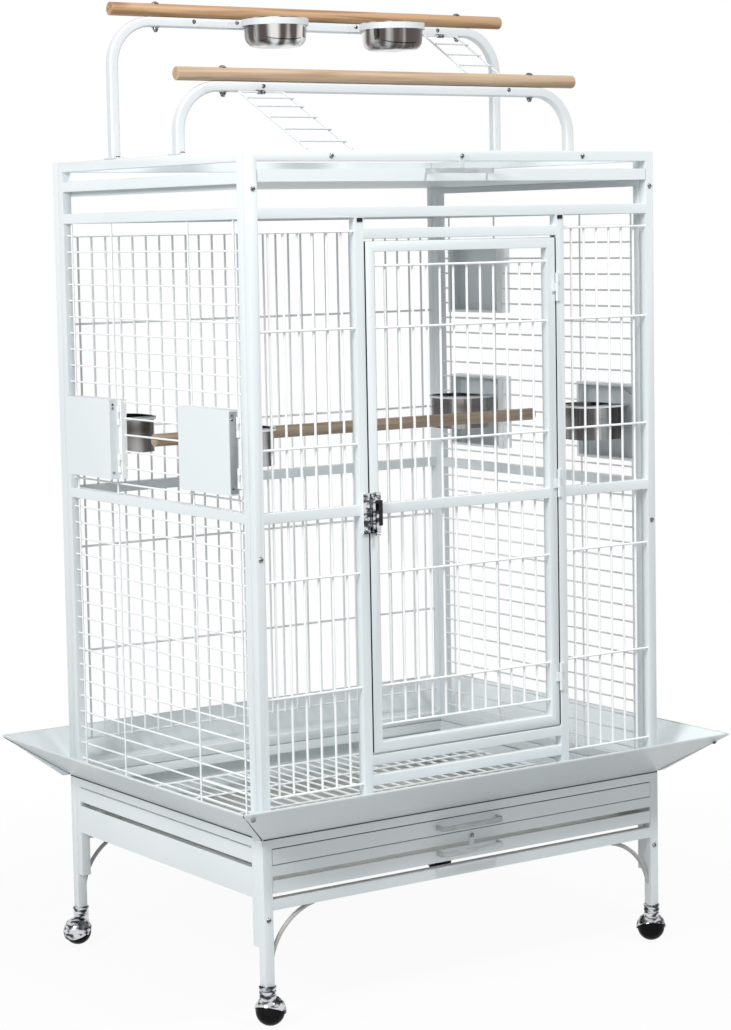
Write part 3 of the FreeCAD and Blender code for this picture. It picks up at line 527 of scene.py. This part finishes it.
def play_bowl(node):
    """Spun bowl: a round knee between floor and wall, a rolled rim and a thin wall."""
    lo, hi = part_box(node)
    c = middle(node)
    rim = (hi.x - lo.x) / 2
    depth = hi.z - lo.z
    mouth = rim - 0.0025
    wall = 0.0012
    knee = 0.019
    side = mouth * 0.972
    turns = [math.radians(15 * step) for step in range(7)]
    low = [(0.001, 0)]
    low += [(side - knee + knee * math.sin(a), knee - knee * math.cos(a)) for a in turns]
    low.append((mouth, depth - 0.003))
    edge = [
        (rim - 0.0008, depth - 0.0028), (rim, depth - 0.0017), (rim - 0.0007, depth - 0.0004),
        (rim - 0.002, depth), (mouth - wall, depth - 0.001),
    ]
    inner = [(max(r - wall, 0.001), z + wall) for r, z in reversed(low[:-1])]
    steel = lathe(low + edge + inner, (c.x, c.y, lo.z), (0, 0, 1), 72)
    return done([steel], "steel_" + node, node, BOWL_STEEL, (node,), 40)


play_bowl("play_bowl_left")
play_bowl("play_bowl_right")


# Screws, modelled once and copied

def domed_screw(r=0.0048, h=0.0028):
    """Domed screw with a socket sunk in its head, standing on the floor of its own frame."""
    profile = [
        (0.0006, h * 0.55), (r * 0.34, h * 0.55), (r * 0.40, h), (r * 0.6, h * 0.94), (r * 0.85, h * 0.62),
        (r, h * 0.15), (r, 0), (0.0006, 0),
    ]
    return lathe(profile, (0, 0, 0), (0, 0, 1), 20)


def frame_screws():
    """Screws of the posts, the roof rail and the arches' feet."""
    post_heights = (1.478, 0.836, 0.195)
    roof_rail_x = 0.283
    foot_step = 0.014
    foot_top = ROOF + 0.0025
    plain = domed_screw()
    heads = []
    for side in (-1, 1):
        for z in post_heights:
            for face in (-1, 1):
                heads.append(twin(plain, (side * POST_X, face * HALF_D, z), (0, face, 0)))
        heads.append(twin(plain, (side * roof_rail_x, -HALF_D, ROOF - TUBE / 2), (0, -1, 0)))
        for node in ("rear_arch", "front_arch"):
            for step in (-foot_step, foot_step):
                heads.append(twin(plain, (side * POST_X, middle(node).y + step, foot_top)))
    drop(plain)
    return done(heads, "screws", "cage_body", SCREW, ("frame_screws",))


frame_screws()


def perch_bolts():
    """Domed heads on top of the two upper perches and nuts under the arches."""
    head_r = 0.007
    sunk = 0.0004
    head = lathe(
        [(0.0006, 0.0042), (0.003, 0.004), (0.0055, 0.0028), (head_r, 0.0008), (head_r, 0), (0.0006, 0)],
        (0, 0, 0), (0, 0, 1), 24)
    nut = lathe(
        [(0.0006, 0.0095), (0.0025, 0.009), (0.004, 0.0075), (0.0045, 0.0055), (0.0055, 0.005),
         (0.0055, 0.001), (0.0075, 0.001), (0.0075, 0), (0.0006, 0)],
        (0, 0, 0), (0, 0, 1), 12)
    bolt_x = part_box("perch_bolts")[1].x - head_r
    parts = []
    for node in ("rear_perch", "front_perch"):
        lo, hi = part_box(node)
        for x in (-bolt_x, bolt_x):
            parts.append(twin(head, (x, middle(node).y, hi.z - sunk)))
            parts.append(twin(nut, (x, middle(node).y, lo.z - TUBE), (0, 0, -1)))
    drop(head)
    drop(nut)
    return done(parts, "bolts", "cage_body", SCREW, ("perch_bolts",))


perch_bolts()


# Door latch: chrome base with screwed ears, black cover and a hanging chrome lever

def door_latch():
    lo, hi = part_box("latch_case")
    face = lo.y
    back = hi.y
    plate = 0.003
    ear = 0.014
    low = lo.z + ear
    high = hi.z - ear
    lap = 0.006
    inside = back - 0.0029
    small = domed_screw(0.0034, 0.002)
    base = [block((lo.x, back - plate, lo.z), (hi.x, back, hi.z), 0.0009)]
    for z in (lo.z + ear / 2, hi.z - ear / 2):
        base.append(twin(small, (middle("latch_case").x + 0.003, back - plate, z), (0, -1, 0)))
        base.append(block((lo.x, face + 0.003, z - 0.005), (lo.x + 0.006, back - 0.001, z + 0.005), 0.001))
    base.append(block((lo.x, face + 0.001, low - lap), (lo.x + 0.0055, inside, high + lap), 0.0012))
    done(base, "latch_base", "front_door", CHROME, ("latch_case",))
    cover = [
        block((hi.x - 0.0102, face - 0.001, low), (hi.x - 0.0022, back - 0.0001, high), 0.0014),
        brick((lo.x + 0.005, face + 0.0052, low + 0.0006), (hi.x - 0.008, inside, high - 0.0006)),
        block((lo.x + 0.0055, face + 0.0003, high - lap), (hi.x - 0.003, inside, high - 0.0004), 0.001),
    ]
    done(cover, "latch_cover", "front_door", BLACKENED, ())
    tip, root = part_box("latch_lever")
    left = tip.x - 0.0006
    arm = block((left, tip.y - 0.0008, tip.z), (root.x - 0.0044, root.y, root.z), 0.0012)
    curl = block((left, tip.y - 0.004, tip.z), (root.x - 0.0034, tip.y + 0.001, tip.z + 0.002), 0.0006)
    done([arm, curl], "latch_arm", "latch_lever", CHROME, ("latch_lever",))
    keeper_face = back - 0.0047
    keeper = [block((lo.x - 0.0168, keeper_face, lo.z), (lo.x - 0.0031, back - 0.0001, hi.z), 0.0012)]
    for z in (lo.z + 0.008, hi.z - 0.008):
        keeper.append(twin(small, (lo.x - 0.0100, keeper_face + 0.0001, z), (0, -1, 0)))
    done(keeper, "latch_keeper", "cage_body", CHROME, ())
    drop(small)


door_latch()


# Small fasteners that the arches, catches, door posts and feeder doors carry

# The cover's front edge, behind the foremost point of a feeder door
HATCH_EDGE = 0.0053


def small_fasteners():
    bolt = domed_screw(0.0042, 0.0026)
    rear, rear_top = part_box("rear_arch")
    front, front_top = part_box("front_arch")
    bend_z = rear_top.z - 0.0085
    ring_z = rear_top.z - 0.0078
    ring_y = rear.y - 0.0025
    heads = []
    for spot in (
        (-0.281, rear.y, bend_z), (0.288, rear.y, bend_z),
        (-0.279, front.y, front_top.z - 0.009), (0.284, front.y, front_top.z - 0.007),
        (-0.1876, ring_y, ring_z), (0.0872, ring_y, ring_z),
    ):
        heads.append(twin(bolt, spot, (0, -1, 0)))
    done(heads, "arch_screws", "cage_body", SCREW, ())
    for node in ("top_tray_catch", "bottom_tray_catch"):
        eased(node, "tab_" + node, node, COAT, 0.0003)
        lo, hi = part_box(node)
        head = twin(bolt, (0, lo.y + 0.0012, hi.z - 0.0055), (0, -1, 0))
        done([head], "head_" + node, node, SCREW, ())
    drop(bolt)
    plug_x = 0.2265
    plug_z = 1.422
    plugs = []
    for x in (-plug_x, plug_x):
        near = (x - 0.006, -HALF_D - 0.002, plug_z - 0.0035)
        far = (x + 0.006, -HALF_D, plug_z + 0.0035)
        plugs.append(block(near, far, 0.001))
    done(plugs, "jamb_plugs", "cage_body", BLACKENED, ())
    tiny = domed_screw(0.0026, 0.0016)
    for node in ("feeder_door_left_front", "feeder_door_left_rear"):
        lo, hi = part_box(node)
        marks = []
        for z in (lo.z + 0.012, hi.z - 0.010, hi.z - 0.017):
            marks.append(twin(tiny, (lo.x + 0.0063, lo.y + HATCH_EDGE, z), (0, -1, 0)))
        done(marks, "screws_" + node, node, SCREW, ())
    drop(tiny)


small_fasteners()


# Feeder doors: grey strip on the edge that faces the front, painted shade of that edge

def feeder_strips():
    outer_in = 0.0014
    inner_in = 0.0172
    thick = 0.0006
    end_in = 0.003
    for node in ("feeder_door_left_front", "feeder_door_right_front"):
        lo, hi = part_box(node)
        edge = lo.y + HATCH_EDGE
        if "left" in node:
            near = lo.x + outer_in
            far = lo.x + inner_in
        else:
            near = hi.x - inner_in
            far = hi.x - outer_in
        strip = block((near, edge - thick, lo.z + end_in), (far, edge, hi.z - end_in), 0.0002)
        done([strip], "strip_" + node, node, EDGE_SHADE_GREY, ())


feeder_strips()


# Pulls and plates: thin skins of paint over the fronts of the three sliding floors

def front_skin(node, name, depth, fat, paint):
    """Skin over what a sliding floor has in front of a plane at this depth behind the frames' face."""
    obj = own_shape(node, name)
    bpy.ops.mesh.bisect(plane_co=(0, depth - HALF_D, 0), plane_no=(0, 1, 0), clear_outer=True)
    bpy.ops.mesh.select_all(action="SELECT")
    bpy.ops.mesh.normals_make_consistent(inside=False)
    bpy.ops.transform.shrink_fatten(value=fat)
    bpy.ops.object.mode_set(mode="OBJECT")
    return done([obj], name, node, paint, (), 32)


PLATE_DEPTH = 0.0019
PLATE_SKIN = 0.00015
PULL_DEPTH = -0.0004
PULL_SKIN = 0.0003
front_skin("floor_grate", "plate_grate", PLATE_DEPTH, PLATE_SKIN, COAT)
front_skin("bottom_tray", "plate_tray", PLATE_DEPTH, PLATE_SKIN, COAT)
front_skin("top_tray", "pull_top", PULL_DEPTH, PULL_SKIN, PULL_COAT)
front_skin("floor_grate", "pull_grate", PULL_DEPTH, PULL_SKIN, PULL_COAT)
front_skin("bottom_tray", "pull_bottom", PULL_DEPTH, PULL_SKIN, PULL_COAT)


# Black strips in the narrow gaps round the door, at the jamb and along the deck: painted shade of the gaps

def gap_lines():
    thin = 0.0003
    front_in = 0.0012
    lo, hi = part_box("front_door_frame")
    front = lo.y + front_in
    end_in = 0.0015
    strips = []
    for x in (lo.x - thin, hi.x):
        strips.append(brick((x, front, lo.z + end_in), (x + thin, hi.y, hi.z - end_in)))
    strips.append(brick((lo.x, front, hi.z), (hi.x, hi.y, hi.z + thin)))
    done(strips, "door_edge_painted_shade", "front_door", GAP_SHADE_BLACK, ())
    door_gap = 0.003
    jamb = hi.x + door_gap
    strips = []
    for x in (-jamb, jamb):
        strips.append(brick((x - thin, front, lo.z), (x + thin, hi.y, hi.z)))
    done(strips, "jamb_edge_painted_shade", "cage_body", GAP_SHADE_BLACK, ())
    top = DECK - 0.0004
    low = DECK - 0.0026
    end_x = HALF_W - front_in
    end_y = HALF_D - front_in
    strips = [
        brick((-end_x, -HALF_D - thin, low), (end_x, -HALF_D, top)),
        brick((-end_x, HALF_D, low), (end_x, HALF_D + thin, top)),
        brick((-HALF_W - thin, -end_y, low), (-HALF_W, end_y, top)),
        brick((HALF_W, -end_y, low), (HALF_W + thin, end_y, top)),
    ]
    done(strips, "deck_painted_shade", "cage_body", GAP_SHADE_BLACK, ())


gap_lines()


def grate_line():
    """Dark strip round the floor grate's front plate, a little behind its face: painted shade of the gap round the
    plate.
    """
    lo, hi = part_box("floor_grate")
    near = 0.0055 - HALF_D
    far = near + 0.001
    half_line = 0.001
    side_x = hi.x - 0.0005
    strips = [
        brick((-side_x, near, lo.z - 0.0025), (side_x, far, lo.z + 0.0015)),
        brick((-side_x, near, hi.z - 0.0015), (side_x, far, hi.z + 0.0022)),
    ]
    for x in (-side_x, side_x):
        strips.append(brick((x - half_line, near, lo.z - 0.0005), (x + half_line, far, hi.z + 0.0005)))
    done(strips, "grate_edge_painted_shade", "floor_grate", GAP_SHADE_BLACK, ())


grate_line()


# Skirt corners: a dark strip painted as the shade along the mitre, and the screw that closes it

def skirt_corners():
    lo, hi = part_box("skirt_front")
    rim_x = -lo.x
    rim_y = HALF_D + rim_x - HALF_W
    mitre_shade_r = 0.0014
    screw = domed_screw(0.0048, 0.003)
    mitre_shade_strips = []
    heads = []
    for sx in (-1, 1):
        for sy in (-1, 1):
            low = Vector((sx * (HALF_W + 0.002), sy * (HALF_D + 0.0002), DECK + 0.001))
            high = Vector((sx * (rim_x - 0.002), sy * (rim_y - 0.0038), hi.z - 0.004))
            mitre_shade_strips.append(bar(low, high, mitre_shade_r, 8))
            spot = low.lerp(high, 0.86) + Vector((-sx * 0.012, sy * 0.0045, -0.002))
            heads.append(twin(screw, spot, (0, sy * 0.6, -0.8)))
    drop(screw)
    done(mitre_shade_strips, "skirt_mitre_painted_shade", "cage_body", GAP_SHADE_BLACK, ())
    done(heads, "skirt_screws", "cage_body", SCREW, ())


skirt_corners()


# Casters: chrome hood and neck on the swivel, black ball on the axle

JOINTS = {joint["name"]: joint for joint in frame["joints"]}


def sphere(r, axle):
    """Sphere about the origin with its poles on the axle."""
    bpy.ops.object.select_all(action="DESELECT")
    bpy.ops.mesh.primitive_uv_sphere_add(segments=48, ring_count=24, radius=r, rotation=aim(axle))
    apply_all()
    return active()


def hood_dome(centre, stem, axle):
    """Half shell over the ball, leaning back along the wheel's trail."""
    hood_r = 0.029
    wall = 0.0016
    tilt = math.radians(27)
    trail = Vector((centre.x - stem.x, centre.y - stem.y, 0)).normalized()
    lean = trail * math.sin(tilt) + Vector((0, 0, math.cos(tilt)))
    dome = sphere(hood_r, axle)
    bpy.ops.object.mode_set(mode="EDIT")
    bpy.ops.mesh.select_all(action="SELECT")
    bpy.ops.mesh.bisect(plane_co=(0, 0, 0), plane_no=lean, clear_inner=True)
    bpy.ops.object.mode_set(mode="OBJECT")
    thick = dome.modifiers.new("thick", "SOLIDIFY")
    thick.thickness = wall
    thick.offset = -1
    pick([dome])
    bpy.ops.object.modifier_apply(modifier=thick.name)
    dome.location = centre
    apply_all()
    return dome


def caster(corner):
    hood_node = "caster_hood_" + corner
    wheel_node = "caster_wheel_" + corner
    roll = JOINTS["caster_roll_" + corner]
    centre = Vector(roll["pos_m"])
    axle = Vector(roll["axis"]).normalized()
    stem = Vector(JOINTS["caster_swivel_" + corner]["pos_m"])
    dome = hood_dome(centre, stem, axle)
    neck = lathe(
        [(0.001, 0), (0.0145, 0), (0.0158, 0.001), (0.0158, 0.0045), (0.0140, 0.0055), (0.0140, 0.0075),
         (0.0154, 0.0085), (0.0154, 0.0125), (0.0138, 0.0135), (0.0138, 0.0155), (0.015, 0.0165),
         (0.015, 0.030), (0.001, 0.030)],
        stem, (0, 0, -1), 32)
    pin_half = axle * 0.0288
    pin = bar(centre - pin_half, centre + pin_half, 0.0033, 20)
    done([dome, neck, pin], "chrome_hood_" + corner, hood_node, CHROME, (hood_node,), 40)
    ball = sphere(0.0264, axle)
    ball.location = centre
    apply_all()
    done([ball], "ball_" + corner, wheel_node, BALL, (wheel_node,), 60)


for corner_name in ("front_left", "front_right", "rear_left", "rear_right"):
    caster(corner_name)


# Frames, arches and skirts: the edges of tube and sheet are a little rounded

TUBE_EASE = 0.0014
SHEET_EASE = 0.0004
for node_name in (
    "front_frame", "back_frame", "left_frame", "right_frame",
    "stand_front", "stand_back", "stand_left", "stand_right",
):
    eased(node_name, "tube_" + node_name, "cage_body", COAT, TUBE_EASE)
eased("front_door_frame", "tube_front_door_frame", "front_door", COAT, TUBE_EASE)
for node_name in ("rear_arch", "front_arch"):
    eased(node_name, "tube_" + node_name, "cage_body", SHADED_WHITE_COAT, TUBE_EASE)
for node_name in ("skirt_front", "skirt_back", "skirt_left", "skirt_right"):
    eased(node_name, "sheet_" + node_name, "cage_body", COAT, SHEET_EASE)


# Stage, camera and light

def white_rays(nodes, link):
    """1 for rays that should see plain white: the camera's, and those in glossy metal."""
    path = nodes.new("ShaderNodeLightPath")
    either = nodes.new("ShaderNodeMath")
    either.operation = "MAXIMUM"
    link(path.outputs["Is Glossy Ray"], either.inputs[0])
    link(path.outputs["Is Transmission Ray"], either.inputs[1])
    every = nodes.new("ShaderNodeMath")
    every.operation = "MAXIMUM"
    link(path.outputs["Is Camera Ray"], every.inputs[0])
    link(either.outputs["Value"], every.inputs[1])
    return every.outputs["Value"]


def stage_floor():
    """Pale floor, near white to the camera with a faint shadow, that fades out to the background."""
    radius = 4.0
    below = 0.0005
    shown_white = 0.94
    fade_from = 0.7
    fade_to = 1.9
    bpy.ops.object.select_all(action="DESELECT")
    bpy.ops.mesh.primitive_circle_add(vertices=96, radius=radius, fill_type="NGON", location=(0, 0, -below))
    apply_all()
    floor = active()
    floor.name = "floor"
    mat = bpy.data.materials.new("floor")
    mat.use_nodes = True
    nodes = mat.node_tree.nodes
    link = mat.node_tree.links.new
    nodes["Principled BSDF"].inputs["Base Color"].default_value = (0.6, 0.6, 0.6, 1)
    nodes["Principled BSDF"].inputs["Roughness"].default_value = 0.9
    share = nodes.new("ShaderNodeMath")
    share.operation = "MULTIPLY"
    share.inputs[1].default_value = shown_white
    link(white_rays(nodes, link), share.inputs[0])
    white = nodes.new("ShaderNodeEmission")
    white.inputs["Strength"].default_value = 1.0
    pale = nodes.new("ShaderNodeMixShader")
    link(share.outputs["Value"], pale.inputs["Fac"])
    link(nodes["Principled BSDF"].outputs["BSDF"], pale.inputs[1])
    link(white.outputs["Emission"], pale.inputs[2])
    coord = nodes.new("ShaderNodeTexCoord")
    size = nodes.new("ShaderNodeVectorMath")
    size.operation = "LENGTH"
    link(coord.outputs["Object"], size.inputs[0])
    fade = nodes.new("ShaderNodeMapRange")
    fade.interpolation_type = "SMOOTHSTEP"
    fade.inputs["From Min"].default_value = fade_from
    fade.inputs["From Max"].default_value = fade_to
    link(size.outputs["Value"], fade.inputs["Value"])
    clear = nodes.new("ShaderNodeBsdfTransparent")
    mix = nodes.new("ShaderNodeMixShader")
    link(fade.outputs["Result"], mix.inputs["Fac"])
    link(pale.outputs["Shader"], mix.inputs[1])
    link(clear.outputs["BSDF"], mix.inputs[2])
    link(mix.outputs["Shader"], nodes["Material Output"].inputs["Surface"])
    floor.data.materials.append(mat)


stage_floor()

YAW = math.radians(-34.53)
PITCH = math.radians(-5.61)
ROLL = math.radians(-1.051)
CAMERA_PLACE = (-2.8169, -4.1244, 1.4031)
LENS_MM = 90.05
SENSOR_MM = 36
SHIFT_Y = -0.0305

camera_data = bpy.data.cameras.new("camera")
camera_data.sensor_width = SENSOR_MM
camera_data.lens = LENS_MM
camera_data.shift_y = SHIFT_Y
camera = bpy.data.objects.new("camera", camera_data)
bpy.context.scene.collection.objects.link(camera)
level = Matrix.Rotation(YAW, 4, "Z") @ Matrix.Rotation(math.pi / 2 + PITCH, 4, "X")
camera.matrix_world = Matrix.Translation(CAMERA_PLACE) @ level @ Matrix.Rotation(ROLL, 4, "Z")
bpy.context.scene.camera = camera


def area_light(name, place, target, size, power):
    data = bpy.data.lights.new(name, "AREA")
    data.shape = "RECTANGLE"
    data.size = size
    data.size_y = size
    data.energy = power
    lamp = bpy.data.objects.new(name, data)
    bpy.context.scene.collection.objects.link(lamp)
    lamp.location = place
    lamp.rotation_euler = (Vector(place) - Vector(target)).to_track_quat("Z", "Y").to_euler()


CAGE_MIDDLE = (0, 0, 1.0)
area_light("key", (-3.6, -1.4, 2.9), CAGE_MIDDLE, 1.4, 118)
area_light("front", (0.4, -2.6, 4.4), CAGE_MIDDLE, 0.6, 98)

world = bpy.data.worlds.new("world")
bpy.context.scene.world = world
world.use_nodes = True
world_nodes = world.node_tree.nodes
world_link = world.node_tree.links.new
lit = world_nodes["Background"]
lit.inputs["Color"].default_value = (1, 1, 1, 1)
lit.inputs["Strength"].default_value = 0.46
shown = world_nodes.new("ShaderNodeBackground")
shown.inputs["Color"].default_value = (1, 1, 1, 1)
shown.inputs["Strength"].default_value = 1.0
blend = world_nodes.new("ShaderNodeMixShader")
world_link(white_rays(world_nodes, world_link), blend.inputs["Fac"])
world_link(lit.outputs["Background"], blend.inputs[1])
world_link(shown.outputs["Background"], blend.inputs[2])
world_link(blend.outputs["Shader"], world_nodes["World Output"].inputs["Surface"])
bpy.context.scene.view_settings.view_transform = "Standard"
